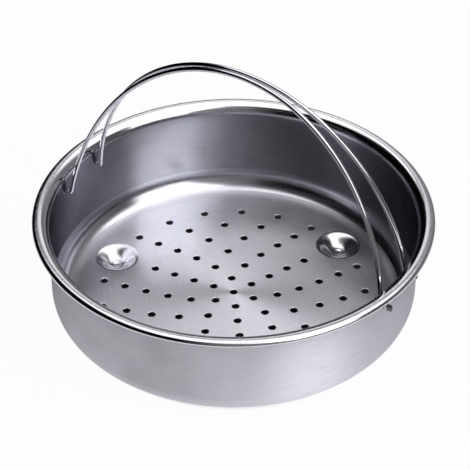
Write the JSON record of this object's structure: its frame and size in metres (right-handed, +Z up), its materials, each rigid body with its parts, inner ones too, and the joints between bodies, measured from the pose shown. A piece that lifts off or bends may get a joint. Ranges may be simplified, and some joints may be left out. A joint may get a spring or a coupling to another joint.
{
  "type": "perforated cooking basket",
  "caption": "Round steel pan with a perforated floor, pressed feet and a rolled rim, lifted by a pair of wire handles that swing outward.",
  "frame": {"origin": "on the surface that the feet stand on, under the middle of the pan", "axes": "+Z up, X along the pins of the handles, +Y towards the rear handle"},
  "size_m": [0.213, 0.213, 0.1483],
  "materials": {
    "pan_steel": "satin, with a polished rim and feet",
    "handle_wire": "polished"
  },
  "bodies": {
    "pan": {"basket_pan": "pan_steel"},
    "front_handle": {"front_wire_handle": "handle_wire"},
    "rear_handle": {"rear_wire_handle": "handle_wire"}
  },
  "joints": [
    {"name": "front_handle_swing", "type": "hinge", "parent": "pan", "child": "front_handle", "pos_m": [0, -0.0148, 0.0478], "axis": [1, 0, 0], "range_deg": [0, 70]},
    {"name": "rear_handle_swing", "type": "hinge", "parent": "pan", "child": "rear_handle", "pos_m": [0, 0.0148, 0.0478], "axis": [-1, 0, 0], "range_deg": [0, 67]}
  ]
}
